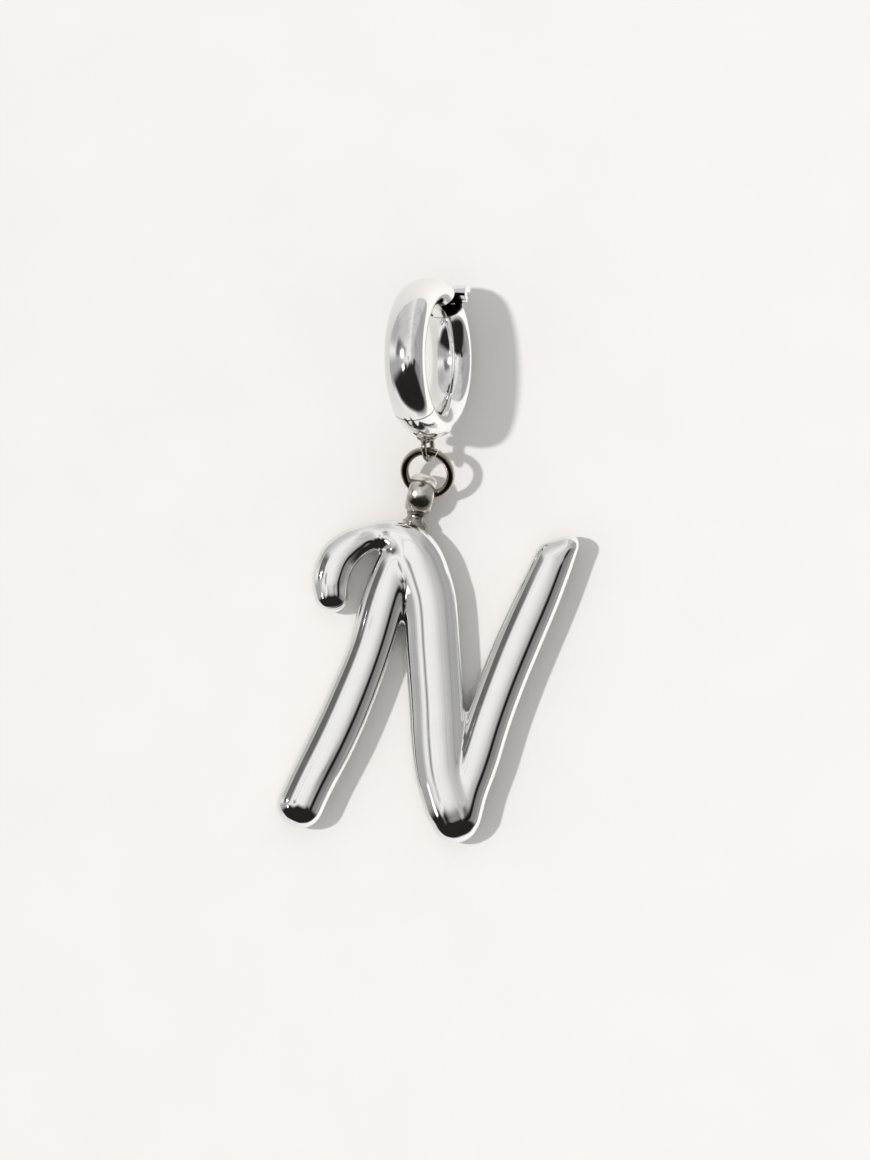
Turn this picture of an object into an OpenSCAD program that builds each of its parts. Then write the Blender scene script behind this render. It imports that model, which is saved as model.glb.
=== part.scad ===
// Initial pendant that lies on a flat surface: a hinged hoop clasp, a small ring
// and a puffed script letter with its bail.
// +X is the letter's right, +Y its top, +Z up from the surface.
// The origin is on the surface, under the middle of the pendant.

/* [Letter] */
// Width of the letter from the leg's end to the riser's end
letter_w = 25.7; // [20:0.1:34]
// Height of the letter from its lower point to the top of the arch
letter_h = 27.4; // [22:0.1:36]
// Width of the widest stroke, the diagonal
stroke_w = 4.7; // [3:0.05:5.2]
// Greatest thickness of the letter
letter_t = 3.5; // [2.8:0.05:4]
// Squareness of a stroke's section: 2 is oval, more is flatter on top with steeper sides
squareness = 3.2; // [2:0.1:3.6]

/* [Bail] */
// Outer diameter of the bail
bail_od = 3.55; // [3.3:0.05:4.2]
// Diameter of the hole in the bail
bail_hole_d = 2.3; // [2.1:0.05:2.5]
// Width of the bail's band along its hole
bail_w = 2.25; // [1.6:0.05:2.6]
// Turn of the bail and its neck seen from above, clockwise
bail_lean = 13; // [0:1:20]
// Length of the neck between the arch and the bail
neck_l = 0.8; // [0.3:0.05:1]
// Diameter of the soldered neck
neck_d = 1.3; // [0.9:0.05:1.6]

/* [Jump ring] */
// Outer diameter of the jump ring
ring_od = 4.7; // [4.4:0.05:5.4]
// Diameter of the ring's wire
wire_d = 0.7; // [0.5:0.01:0.75]
// Width of the cut where the ring was closed
slit_w = 0.06; // [0.03:0.01:0.15]
// Lean of the ring towards its left side
ring_lean = 14; // [8:1:18]

/* [Hoop] */
// Outer diameter of the hoop clasp
hoop_od = 13.5; // [11:0.1:16]
// Thickness of the hoop's tube, from the hole outwards
tube_t = 2.35; // [1.8:0.05:2.6]
// Width of the hoop's tube along the hoop's axis
tube_w = 3.55; // [3.3:0.05:4.2]
// Radius of the tube's rounded sides
tube_side_r = 0.85; // [0.6:0.05:0.88]
// Lean of the hoop from upright, its top towards the left
hoop_lean = 21; // [10:1:30]

/* [Hinge and seams] */
// Angle of the hinge round the hoop, from the hoop's top end downwards
hinge_angle = 38; // [30:1:50]
// Diameter of the hinge's knuckles
knuckle_d = 1.5; // [1.3:0.05:1.8]
// Height of the pin's centre over the hoop's outer surface
pin_rise = 0.2; // [0.05:0.05:0.3]
// Diameter of the hinge pin
pin_d = 0.6; // [0.5:0.05:0.8]
// Clearance between the pin and its bore, on the radius
pin_clearance = 0.03; // [0.02:0.01:0.08]
// Width of the hinge along its pin
hinge_w = 3.8; // [3:0.1:4]
// Angle round the hoop over which the gate narrows to its hinge tab
tab_angle = 24; // [14:1:30]
// Depth of the hollow in the body's end beside the tab, as an angle round the hoop
hollow_angle = 14; // [8:1:20]
// Wall round the hollow
hollow_wall = 0.28; // [0.2:0.01:0.4]
// Gap between the halves of the hoop, and between the knuckles
seam_gap = 0.08; // [0.06:0.01:0.15]
// Length of the gate's snap tongue
tongue_l = 0.7; // [0.4:0.05:0.9]
// Width of the snap tongue along the hoop's axis
tongue_w = 1; // [0.7:0.05:1.4]
// Thickness of the snap tongue
tongue_t = 0.7; // [0.5:0.05:0.9]
// Clearance round the snap tongue in its socket
socket_clearance = 0.15; // [0.1:0.01:0.25]

/* [Loop] */
// Diameter of the loop's wire
loop_wire_d = 0.46; // [0.36:0.02:0.6]
// Diameter of the hole in the loop
loop_hole_d = 1.5; // [1.3:0.05:1.8]
// Height of the loop's hole over the hoop's outer surface
loop_rise = 0.3; // [0.1:0.05:0.5]
// Angle of the loop round the hoop, from the hoop's lower end downwards
loop_angle = 17; // [12:1:24]
// Place of the loop along the hoop's axis, from the tube's middle
loop_offset = -0.95; // [-1.1:0.05:0]
// Width of the solder that joins the loop to the hoop
solder_w = 1.6; // [1:0.05:2.2]
// Thickness of the solder
solder_t = 1.2; // [0.8:0.05:1.4]
// Clearance between links that hang on each other
link_clearance = 0.1; // [0.05:0.01:0.15]

/* [Hidden] */

fine = 96;
section_sides = 20;
steps_per_row = 2;
cap_rings = 5;
arc_lap = 0.002;
overcut_angle = 1;
tip_share = 0.03;
end_fit = 0.985;
end_reach = 0.62;
end_share = 0.7;
slit_side = 67;
band_side_share = 0.42;
silver = "#d6d6d8";
steel = "#a9a8a6";

// Strokes of the letter, a row for each section along the stroke.
// Columns: place across as a share of letter_w, place up as a share of letter_h,
// half width as a share of half of stroke_w.
arch_and_diagonal = [
    [0.181, 0.766, 0.63],
    [0.179, 0.814, 0.70],
    [0.201, 0.875, 0.71],
    [0.245, 0.916, 0.65],
    [0.290, 0.938, 0.56],
    [0.340, 0.952, 0.52],
    [0.385, 0.947, 0.65],
    [0.425, 0.922, 0.85],
    [0.460, 0.872, 0.98],
    [0.484, 0.812, 1.00],
    [0.503, 0.740, 1.00],
    [0.514, 0.598, 1.00],
    [0.525, 0.444, 1.00],
    [0.531, 0.321, 1.00],
    [0.541, 0.228, 0.98],
    [0.561, 0.166, 0.98],
    [0.585, 0.112, 0.94],
    [0.603, 0.076, 0.87]
];
left_leg = [
    [0.079, 0.122, 0.86],
    [0.116, 0.197, 0.86],
    [0.182, 0.320, 0.88],
    [0.241, 0.444, 0.86],
    [0.305, 0.598, 0.81],
    [0.353, 0.752, 0.83],
    [0.394, 0.868, 0.75],
    [0.416, 0.914, 0.68]
];
right_riser = [
    [0.606, 0.092, 0.82],
    [0.624, 0.166, 0.83],
    [0.656, 0.259, 0.84],
    [0.697, 0.382, 0.83],
    [0.745, 0.506, 0.83],
    [0.798, 0.629, 0.84],
    [0.855, 0.752, 0.82],
    [0.911, 0.875, 0.75]
];
// A smaller round beside the riser's end squares it off.
riser_corner = [0.951, 0.910, 0.50];
// Place of the neck across the letter as a share of letter_w
neck_place = 0.452;
// Top edge of the arch at the neck as a share of letter_h
neck_height_share = 0.985;

// Heights and places of the letter and its bail
mid_z = letter_t / 2;
bail_r = bail_od / 2;
bail_hole_r = bail_hole_d / 2;
neck_foot = [neck_place * letter_w, neck_height_share * letter_h, 0];
neck_dir = [sin(bail_lean), cos(bail_lean), 0];
bail_centre_flat = neck_foot + (neck_l + bail_r) * neck_dir;
bail_z = max(mid_z, bail_r);
neck_sunk = stroke_w / 4;

// The jump ring's wire crosses the bail's domed band askew, so it lies only part of the way
// from the hole's middle towards its upper far side.
wire_reach = wire_d / 2;
ring_r = (ring_od - wire_d) / 2;
slack_share = 0.47;
bail_slack = slack_share * (bail_hole_r - wire_reach);
slack_rise = 70;
bail_touch = [bail_centre_flat.x, bail_centre_flat.y, bail_z]
    + bail_slack * (cos(slack_rise) * neck_dir + [0, 0, sin(slack_rise)]);

// The hoop stands on its edge and leans.
hoop_r = hoop_od / 2;
hole_r = hoop_r - tube_t;
tube_r = hoop_r - tube_t / 2;
side_middle = tube_w / 2 - tube_side_r;
crown_r = (pow(side_middle, 2) + pow(tube_t / 2, 2) - pow(tube_side_r, 2)) / (tube_t - 2 * tube_side_r);
crown_centre = tube_t / 2 - crown_r;
crown_w = side_middle * crown_r / (crown_r - tube_side_r);
// Lowest reach of the leaning tube under the middle of its section: the sides' rounds
// carry it past the lean at which the crown takes over.
crown_angle = atan2(side_middle, -crown_centre);
tube_drop = hoop_lean < crown_angle
    ? crown_r + crown_centre * cos(hoop_lean)
    : tube_side_r + side_middle * sin(hoop_lean);
hoop_z = tube_r * cos(hoop_lean) + tube_drop;
hoop_axis = [cos(hoop_lean), 0, sin(hoop_lean)];
hoop_up = [-sin(hoop_lean), 0, cos(hoop_lean)];
hoop_along = [0, 1, 0];

// The loop on the hoop, and the place of the wire in it
loop_r = loop_hole_d / 2 + loop_wire_d / 2;
loop_reach = hoop_r + loop_rise + loop_hole_d / 2;
loop_dir = -cos(loop_angle) * hoop_along - sin(loop_angle) * hoop_up;
loop_from_hoop = loop_reach * loop_dir + loop_offset * hoop_axis;
loop_slack = loop_hole_d / 2 - wire_reach - link_clearance;
touch_from_hoop = loop_from_hoop + loop_slack * loop_dir;
loop_touch_z = hoop_z + touch_from_hoop.z;

// Angles at which the ring meets the bail and the loop, seen along the ring's axis
bail_side = -106;
loop_side = 88;
rise_share = sin(loop_side) - sin(bail_side);
lean_share = (cos(bail_side) - cos(loop_side)) * sin(ring_lean);
rise = (loop_touch_z - bail_touch.z) / ring_r;
ring_pitch = asin(rise / norm([rise_share, lean_share])) + atan2(lean_share, rise_share);

function on_ring(angle) = let (
        x = ring_r * cos(angle) * cos(ring_lean),
        y = ring_r * sin(angle),
        z = ring_r * cos(angle) * sin(ring_lean)
    ) [x, y * cos(ring_pitch) - z * sin(ring_pitch), y * sin(ring_pitch) + z * cos(ring_pitch)];

ring_centre_flat = bail_touch - on_ring(bail_side);
hoop_centre_flat = ring_centre_flat + on_ring(loop_side) - touch_from_hoop;

// The pendant's middle, to which all places are moved
middle = [letter_w / 2, (hoop_centre_flat.y + hoop_r) / 2, 0];
letter_place = [0, 0, mid_z] - middle;
bail_centre = [bail_centre_flat.x, bail_centre_flat.y, bail_z] - middle;
ring_centre = ring_centre_flat - middle;
hoop_centre = hoop_centre_flat - middle;

// Hinge places in the hoop's own frame: X along the hoop's axis, Y along the pendant
pin_reach = hoop_r + pin_rise;
knuckle_w = (hinge_w - 2 * seam_gap) / 3;
cut_r = knuckle_d / 2 + seam_gap;

// Points of a smooth curve through the rows of a stroke's table
function spline_row(a, b, c, d, t) = 0.5 * (
    2 * b + (c - a) * t + (2 * a - 5 * b + 4 * c - d) * t * t
    + (3 * b - a - 3 * c + d) * t * t * t);
function stroke_rows(rows) = [
    for (i = [0 : len(rows) - 2])
        for (s = [0 : steps_per_row - 1])
            spline_row(
                rows[max(i - 1, 0)], rows[i], rows[i + 1],
                rows[min(i + 2, len(rows) - 1)], s / steps_per_row),
    rows[len(rows) - 1]
];
function stroke_point(row) = [row[0] * letter_w, row[1] * letter_h];
function half_width(row) = row[2] * stroke_w / 2;
// A narrower stroke is puffed a little less.
puff_power = 0.3;
function half_depth(row) = min(half_width(row), letter_t / 2 * pow(row[2], puff_power));
function squared(v) = sign(v) * pow(abs(v), 2 / squareness);

// Points of the section at a row, moved by out along the stroke and shrunk to a share of
// its width and a share of its height
function ring(row, heading, out = 0, share = 1, rise_share = 1) = [
    for (s = [0 : section_sides - 1])
        let (
            side = half_width(row) * share * squared(cos(360 * s / section_sides)),
            up = half_depth(row) * rise_share * squared(sin(360 * s / section_sides))
        ) [
            row[0] * letter_w + out * cos(heading) - side * sin(heading),
            row[1] * letter_h + out * sin(heading) + side * cos(heading),
            up
        ]
];
// Rings of a round cap at a row, from its foot to its tip
function cap(row, heading) = [
    for (k = [1 : cap_rings])
        let (
            turn = 90 * k / cap_rings,
            drop = pow(1 - pow(sin(turn), squareness), 1 / squareness)
        ) ring(
            row, heading, half_width(row) * sin(turn),
            max(cos(turn), tip_share), max(drop, tip_share))
];
function mirrored(ring) = [for (s = [0 : section_sides - 1]) ring[(section_sides * 3 / 2 - s) % section_sides]];
function backwards(rings) = [for (i = [len(rings) - 1 : -1 : 0]) mirrored(rings[i])];
function heading_at(path, i) = let (
        d = stroke_point(path[min(i + 1, len(path) - 1)]) - stroke_point(path[max(i - 1, 0)])
    ) atan2(d.y, d.x);
function stroke_rings(path) = [for (i = [0 : len(path) - 1]) ring(path[i], heading_at(path, i))];
function joined(lists) = [for (list = lists) each list];

// The smallest convex solid round a set of points
module around(points) {
    hull()
        polyhedron(points = points, faces = [[for (i = [0 : len(points) - 1]) i]]);
}

// A closed skin through a list of rings
module skin(rings) {
    last = len(rings) - 1;
    sides = [
        for (i = [0 : last - 1])
            for (s = [0 : section_sides - 1])
                let (a = i * section_sides + s, b = i * section_sides + (s + 1) % section_sides)
                    [a, a + section_sides, b + section_sides, b]
    ];
    first_end = [for (s = [0 : section_sides - 1]) s];
    last_end = [for (s = [section_sides - 1 : -1 : 0]) last * section_sides + s];
    polyhedron(points = joined(rings), faces = concat(sides, [first_end, last_end]), convexity = 4);
}

// A stroke of the letter with round caps at both ends
module stroke(rows) {
    path = stroke_rows(rows);
    last = len(path) - 1;
    first_cap = cap(path[0], heading_at(path, 0) + 180);
    last_cap = cap(path[last], heading_at(path, last));
    skin(concat(backwards(first_cap), stroke_rings(path), last_cap));
}

// The squared end of the riser
module squared_end() {
    path = stroke_rows(right_riser);
    last = len(path) - 1;
    heading = heading_at(path, last);
    around(concat(
        ring(path[last], heading, 0, end_fit, end_fit),
        ring(
            path[last], heading, half_width(path[last]) * end_reach,
            end_fit * end_share, end_fit * end_share),
        ring(riser_corner, heading),
        joined(cap(riser_corner, heading))));
}

// Four arcs that close to an oval, its width along X and its thickness along Y.
// The side arcs lap the crowns by a hair, so that they cross instead of only touching.
module oval(half_w, half_t, side_r) {
    middle_x = half_w - side_r;
    arc_r = (pow(middle_x, 2) + pow(half_t, 2) - pow(side_r, 2)) / (2 * (half_t - side_r));
    join_x = middle_x * arc_r / (arc_r - side_r);
    for (side = [-1, 1])
        translate([side * middle_x, 0])
            circle(r = side_r + arc_lap, $fn = fine);
    intersection() {
        translate([0, half_t - arc_r])
            circle(r = arc_r, $fn = fine);
        translate([0, arc_r - half_t])
            circle(r = arc_r, $fn = fine);
        square([2 * join_x, 2 * half_t], center = true);
    }
}

// Puts a piece made in the hoop's own frame in its place: the hoop's axis, X there, leans
module in_hoop() {
    translate(hoop_centre)
        rotate([0, -hoop_lean, 0])
            children();
}

// Turns a piece made at the hoop's top end, +Y, to an angle round the hoop's axis
module round_hoop(angle) {
    rotate([angle, 0, 0])
        children();
}

// Half of the hoop's tube between its two seams
module half_tube(first) {
    seam_angle = asin(seam_gap / 2 / tube_r);
    rotate([first + seam_angle, 0, 0])
        rotate([0, 90, 0])
            rotate([0, 0, 90])
                rotate_extrude(angle = 180 - 2 * seam_angle, $fn = fine)
                    translate([tube_r, 0])
                        rotate(90)
                            oval(tube_w / 2, tube_t / 2, tube_side_r);
}

// A cylinder along the hinge pin
module along_pin(radius, from, to) {
    round_hoop(-hinge_angle)
        translate([from, pin_reach, 0])
            rotate([0, 90, 0])
                cylinder(r = radius, h = to - from, $fn = fine);
}

// Room beside the gate's hinge tab
module tab_sides() {
    rotate([-hinge_angle - overcut_angle, 0, 0])
        rotate([0, 90, 0])
            rotate([0, 0, 90])
                rotate_extrude(angle = tab_angle + overcut_angle, $fn = fine)
                    for (side = [-1, 1])
                        translate([tube_r, side * (knuckle_w + tube_w) / 2])
                            square([2 * tube_t, tube_w], center = true);
}

// Hollow in the body's end, under the room beside the tab
module end_hollow() {
    rotate([-hinge_angle - hollow_angle, 0, 0])
        rotate([0, 90, 0])
            rotate([0, 0, 90])
                rotate_extrude(angle = hollow_angle + overcut_angle, $fn = fine)
                    translate([tube_r, 0])
                        rotate(90)
                            oval(
                                tube_w / 2 - hollow_wall, tube_t / 2 - hollow_wall,
                                tube_side_r - hollow_wall);
}

// The gate's middle knuckle, or the room for it
module middle_knuckle(radius, margin) {
    along_pin(radius, -knuckle_w / 2 - margin, knuckle_w / 2 + margin);
}

// The body's two outer knuckles, or the room for them
module outer_knuckles(radius, margin) {
    for (side = [-1, 1])
        mirror([side < 0 ? 1 : 0, 0, 0])
            along_pin(radius, hinge_w / 2 - knuckle_w - margin, hinge_w / 2 + margin);
}

// The snap tongue, or the room for it
module snap_tongue(margin) {
    round_hoop(180 - hinge_angle)
        translate([-tongue_w / 2 - margin, tube_r - tongue_t / 2 - margin, -seam_gap])
            cube([tongue_w + 2 * margin, tongue_t + 2 * margin, tongue_l + seam_gap + margin]);
}

// The loop under the hoop, with the solder that joins it on
module soldered_loop() {
    round_hoop(180 + loop_angle)
        translate([loop_offset, 0, 0]) {
            translate([0, loop_reach, 0])
                rotate([0, 90, 0])
                    rotate_extrude($fn = fine)
                        translate([loop_r, 0])
                            circle(d = loop_wire_d, $fn = fine);
            difference() {
                translate([0, hoop_r, 0])
                    rotate([0, 90, 0])
                        cylinder(d = solder_t, h = solder_w, center = true, $fn = fine);
                translate([0, loop_reach, 0])
                    rotate([0, 90, 0])
                        cylinder(d = loop_hole_d + loop_wire_d / 2, h = 2 * solder_w, center = true, $fn = fine);
            }
        }
}

// Lower right half of the hoop, with the outer knuckles and the loop
module clasp_body() {
    color(silver)
        in_hoop()
            difference() {
                union() {
                    difference() {
                        half_tube(180 - hinge_angle);
                        end_hollow();
                    }
                    outer_knuckles(knuckle_d / 2, 0);
                    soldered_loop();
                }
                middle_knuckle(cut_r, seam_gap);
                outer_knuckles(pin_d / 2 + pin_clearance, pin_d);
                snap_tongue(socket_clearance);
            }
}

// Upper left half of the hoop, which swings open
module clasp_gate() {
    color(silver)
        in_hoop()
            difference() {
                union() {
                    half_tube(-hinge_angle);
                    middle_knuckle(knuckle_d / 2, 0);
                    snap_tongue(0);
                }
                tab_sides();
                outer_knuckles(cut_r, seam_gap);
                middle_knuckle(pin_d / 2 + pin_clearance, pin_d);
            }
}

// Pin of the hinge, flush with the outer knuckles
module hinge_pin() {
    color(steel)
        in_hoop()
            along_pin(pin_d / 2, -hinge_w / 2, hinge_w / 2);
}

// Wire ring that joins the hoop's loop and the letter's bail, cut once to close it
module jump_ring() {
    slit_angle = slit_w / ring_r * 180 / PI;
    color(steel)
        translate(ring_centre)
            rotate([ring_pitch, 0, 0])
                rotate([0, -ring_lean, 0])
                    rotate([0, 0, slit_side + slit_angle / 2])
                        rotate_extrude(angle = 360 - slit_angle, $fn = fine)
                            translate([ring_r, 0])
                                circle(d = wire_d, $fn = fine);
}

// Domed band whose hole lies across the neck
module bail() {
    band_t = bail_r - bail_hole_r;
    translate(bail_centre)
        rotate([0, 90, -bail_lean])
            rotate_extrude($fn = fine)
                translate([bail_hole_r + band_t / 2, 0])
                    rotate(90)
                        oval(bail_w / 2, band_t / 2, band_t * band_side_share);
}

// Soldered neck between the arch and the bail
module neck() {
    start = neck_foot - neck_sunk * neck_dir - [middle.x, middle.y, 0];
    translate([start.x, start.y, mid_z])
        rotate([-90, 0, -bail_lean])
            cylinder(d = neck_d, h = neck_sunk + neck_l + (bail_r - bail_hole_r) / 2, $fn = fine);
}

// Script letter with its soldered neck and bail
module letter() {
    color(silver) {
        translate(letter_place) {
            stroke(arch_and_diagonal);
            stroke(left_leg);
            stroke(right_riser);
            squared_end();
        }
        neck();
        bail();
    }
}

clasp_body();
clasp_gate();
hinge_pin();
jump_ring();
letter();
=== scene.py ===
"""Look of a script initial pendant that lies on a pale surface under soft studio light.

The pendant is a puffed letter with a soldered bail, a small wire ring and a hinged hoop clasp.
Sizes are in millimetres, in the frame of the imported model, unless a comment says otherwise. Each
finished piece is brought to metres at the end of its making.
"""

import logging
import math
from dataclasses import dataclass
from enum import Enum
from typing import Sequence

import bpy
from mathutils import Euler, Matrix, Vector


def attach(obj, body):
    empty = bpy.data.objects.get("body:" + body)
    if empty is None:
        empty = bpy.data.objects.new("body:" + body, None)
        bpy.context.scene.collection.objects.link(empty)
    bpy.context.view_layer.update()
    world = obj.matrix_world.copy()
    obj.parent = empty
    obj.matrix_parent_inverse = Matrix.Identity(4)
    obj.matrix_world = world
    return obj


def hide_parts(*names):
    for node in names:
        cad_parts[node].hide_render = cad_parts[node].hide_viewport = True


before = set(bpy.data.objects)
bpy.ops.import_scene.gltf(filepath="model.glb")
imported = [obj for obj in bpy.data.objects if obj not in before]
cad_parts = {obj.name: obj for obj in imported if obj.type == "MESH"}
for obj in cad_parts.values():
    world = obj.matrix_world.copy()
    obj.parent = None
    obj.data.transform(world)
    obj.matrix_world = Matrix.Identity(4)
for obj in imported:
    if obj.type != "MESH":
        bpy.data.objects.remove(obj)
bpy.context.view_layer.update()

log = logging.getLogger("pendant")
logging.basicConfig(level=logging.INFO, format="%(name)s: %(message)s")

Point = tuple[float, float, float]
Tint = tuple[float, float, float]
Pair = tuple[float, float]
Piece = bpy.types.Object
Material = bpy.types.Material
Node = bpy.types.Node
Socket = bpy.types.NodeSocket
# What each input of a node gets, by its name or place: a value or a socket.
Inputs = dict[str | int, object]

MM = 0.001
# Points nearer than this are one point.
MERGE = 1e-4
# A turn smaller than this, in radians, is no turn.
NO_TURN = 1e-7
# Share of the way that one pass of smoothing moves a point towards its neighbours.
SMOOTHING = 0.5
# Edge angle, in degrees, at which no edge stays sharp.
ALL_SMOOTH = 180.0
# Places of the Mix node's two colours and of their blend.
MIX_A, MIX_B, MIX_BLEND = 6, 7, 2


class Body(Enum):
    """The moving bodies of the pendant."""

    CLASP = "clasp"
    GATE = "gate"


class Fit(Enum):
    """How two solids are put together."""

    CUT = "DIFFERENCE"
    WELD = "UNION"


# The moves that every piece is made with

def pick(*pieces: Piece) -> None:
    """Leave edit mode, select pieces and make the first one active.

    Args:
        pieces: The pieces to select.
    """
    if bpy.context.object and bpy.context.object.mode != "OBJECT":
        bpy.ops.object.mode_set(mode="OBJECT")
    bpy.ops.object.select_all(action="DESELECT")
    for piece in pieces:
        piece.select_set(True)
    bpy.context.view_layer.objects.active = pieces[0]


def named(name: str) -> Piece:
    """Name the piece that was just added.

    Args:
        name: The piece's name.

    Returns:
        The piece.
    """
    piece = bpy.context.object
    piece.name = name
    piece.data.name = name
    return piece


def enter(piece: Piece) -> None:
    """Open a piece in edit mode with everything selected.

    Args:
        piece: The piece.
    """
    pick(piece)
    bpy.ops.object.mode_set(mode="EDIT")
    bpy.ops.mesh.select_all(action="SELECT")


def settle(piece: Piece) -> Piece:
    """Work a piece's place, turn and size into its mesh.

    Args:
        piece: The piece.

    Returns:
        The same piece.
    """
    pick(piece)
    bpy.ops.object.transform_apply(location=True, rotation=True, scale=True)
    return piece


def place(piece: Piece, matrix: Matrix) -> Piece:
    """Put a piece, which sits at the origin, at a place and turn, and settle it there."""
    piece.matrix_world = matrix
    return settle(piece)


def join(name: str, pieces: Sequence[Piece]) -> Piece:
    """Make one object of several.

    Args:
        name: Name of the joined object.
        pieces: The objects to join.

    Returns:
        The joined object.
    """
    pick(*pieces)
    bpy.ops.object.join()
    return named(name)


def apply(piece: Piece, change: bpy.types.Modifier) -> Piece:
    """Work a modifier into a piece's mesh.

    Args:
        piece: The piece.
        change: Its modifier.

    Returns:
        The same piece.
    """
    pick(piece)
    bpy.ops.object.modifier_apply(modifier=change.name)
    return piece


def fit(target: Piece, tool: Piece, how: Fit) -> Piece:
    """Cut a tool out of a piece, or weld it on, and throw the tool away.

    Args:
        target: The piece that stays.
        tool: The piece that is used up.
        how: Cut or weld.

    Returns:
        The piece that stays.
    """
    change = target.modifiers.new("fit", "BOOLEAN")
    change.operation = how.value
    change.solver = "EXACT"
    change.object = tool
    apply(target, change)
    bpy.data.objects.remove(tool)
    return target


def polish(piece: Piece, passes: int, group: str = "") -> Piece:
    """Smooth a piece's skin.

    Args:
        piece: The piece.
        passes: How many times it is smoothed.
        group: The group of points that is smoothed, or nothing for the whole piece.

    Returns:
        The same piece.
    """
    rub = piece.modifiers.new("polish", "SMOOTH")
    rub.factor = SMOOTHING
    rub.iterations = passes
    rub.vertex_group = group
    return apply(piece, rub)


def melt(piece: Piece, grain: float, passes: int) -> Piece:
    """Melt overlapping shells into one skin and polish its joins.

    Args:
        piece: The joined shells.
        grain: Size of the new skin's mesh.
        passes: How many times the skin is smoothed.

    Returns:
        The same piece.
    """
    remesh = piece.modifiers.new("melt", "REMESH")
    remesh.mode = "VOXEL"
    remesh.voxel_size = grain
    apply(piece, remesh)
    return polish(piece, passes)


def outward(piece: Piece) -> Piece:
    """Merge doubles and turn every face outwards.

    Args:
        piece: The piece.

    Returns:
        The same piece.
    """
    enter(piece)
    bpy.ops.mesh.remove_doubles(threshold=MERGE)
    bpy.ops.mesh.normals_make_consistent(inside=False)
    bpy.ops.object.mode_set(mode="OBJECT")
    return piece


def spin(section: Piece, steps: int, angle: float, axis: Point) -> Piece:
    """Spin a section round the origin into a closed skin.

    Args:
        section: The section, which becomes the piece.
        steps: Rings along the skin.
        angle: How far it is spun, in radians.
        axis: What it is spun about.

    Returns:
        The piece.
    """
    enter(section)
    bpy.ops.mesh.spin(steps=steps, angle=angle, center=(0, 0, 0), axis=axis)
    return outward(section)


def hand_over(
    piece: Piece, body: Body, names: Sequence[str], slot: str, material: Material, edge_deg: float
) -> Piece:
    """Bring a finished piece to metres, dress it and let it ride on its body.

    Args:
        piece: The piece, in millimetres.
        body: The body that it moves with.
        names: The nodes that it stands for.
        slot: The record's material slot; not used.
        material: Its material.
        edge_deg: Edges sharper than this stay sharp.

    Returns:
        The same piece.
    """
    piece.scale = (MM, MM, MM)
    settle(piece)
    bpy.ops.object.shade_smooth_by_angle(angle=math.radians(edge_deg))
    piece.data.materials.clear()
    piece.data.materials.append(material)
    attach(piece, body.value)
    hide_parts(*names)
    return piece


def report(piece: Piece) -> None:
    """Log a piece's faces and size.

    Args:
        piece: The finished piece.
    """
    low, high = (Vector(corner) for corner in (piece.bound_box[0], piece.bound_box[6]))
    size = (high - low) / MM
    log.info("%s: %d faces, %.1f x %.1f x %.1f mm", piece.name, len(piece.data.polygons), *size)


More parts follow.
